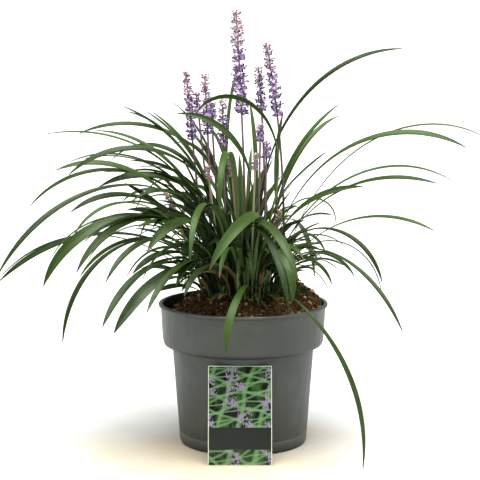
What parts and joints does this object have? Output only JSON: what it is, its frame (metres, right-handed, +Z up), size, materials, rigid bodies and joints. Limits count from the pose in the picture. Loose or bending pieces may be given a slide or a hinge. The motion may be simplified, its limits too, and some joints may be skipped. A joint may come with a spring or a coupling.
{
  "type": "potted liriope",
  "caption": "Liriope clump of arching strap leaves with upright violet flower spikes, in a round tapered nursery pot with a plain plant card leaning on its front.",
  "frame": {"origin": "centre of the pot's underside, on the surface that the pot stands on", "axes": "+Z up along the pot's axis, -Y towards the front, where the plant card leans on the pot, and +X to the right seen from the front"},
  "size_m": [0.5519, 0.4092, 0.485],
  "materials": {
    "pot": "satin injection-moulded grey plastic",
    "soil": "matt, moist, coarse potting mix",
    "leaf": "semi-gloss dark green leaf, paler below",
    "scape": "matt brown-purple stem",
    "flower": "matt violet petals",
    "bud": "matt pinkish-tan closed buds",
    "card": "glossy printed plastic card"
  },
  "bodies": {
    "root": {"pot": "pot", "soil": "soil", "flower_stem_01": "scape", "flower_stem_02": "scape", "flower_stem_03": "scape", "flower_stem_04": "scape", "flower_stem_05": "scape", "flower_stem_06": "scape", "flower_stem_07": "scape", "flower_stem_08": "scape", "flower_stem_09": "scape", "flower_stem_10": "scape", "flower_stem_11": "scape", "flower_stem_12": "scape", "flower_stem_13": "scape", "flower_stem_14": "scape", "flower_stem_15": "scape", "flower_head_01": "flower", "flower_head_02": "flower", "flower_head_03": "flower", "flower_head_04": "flower", "flower_head_05": "flower", "flower_head_06": "flower", "flower_head_07": "flower", "flower_head_08": "flower", "flower_head_09": "flower", "flower_head_10": "flower", "flower_head_11": "bud", "flower_head_12": "bud", "flower_head_13": "bud", "flower_head_14": "bud", "flower_head_15": "bud", "leaf_tuft_01": "leaf", "leaf_tuft_02": "leaf", "leaf_tuft_03": "leaf", "leaf_tuft_04": "leaf", "leaf_tuft_05": "leaf", "leaf_tuft_06": "leaf", "leaf_tuft_07": "leaf", "leaf_tuft_08": "leaf", "leaf_tuft_09": "leaf", "leaf_tuft_10": "leaf", "leaf_tuft_11": "leaf", "leaf_tuft_12": "leaf", "plant_card": "card"}
  },
  "joints": []
}
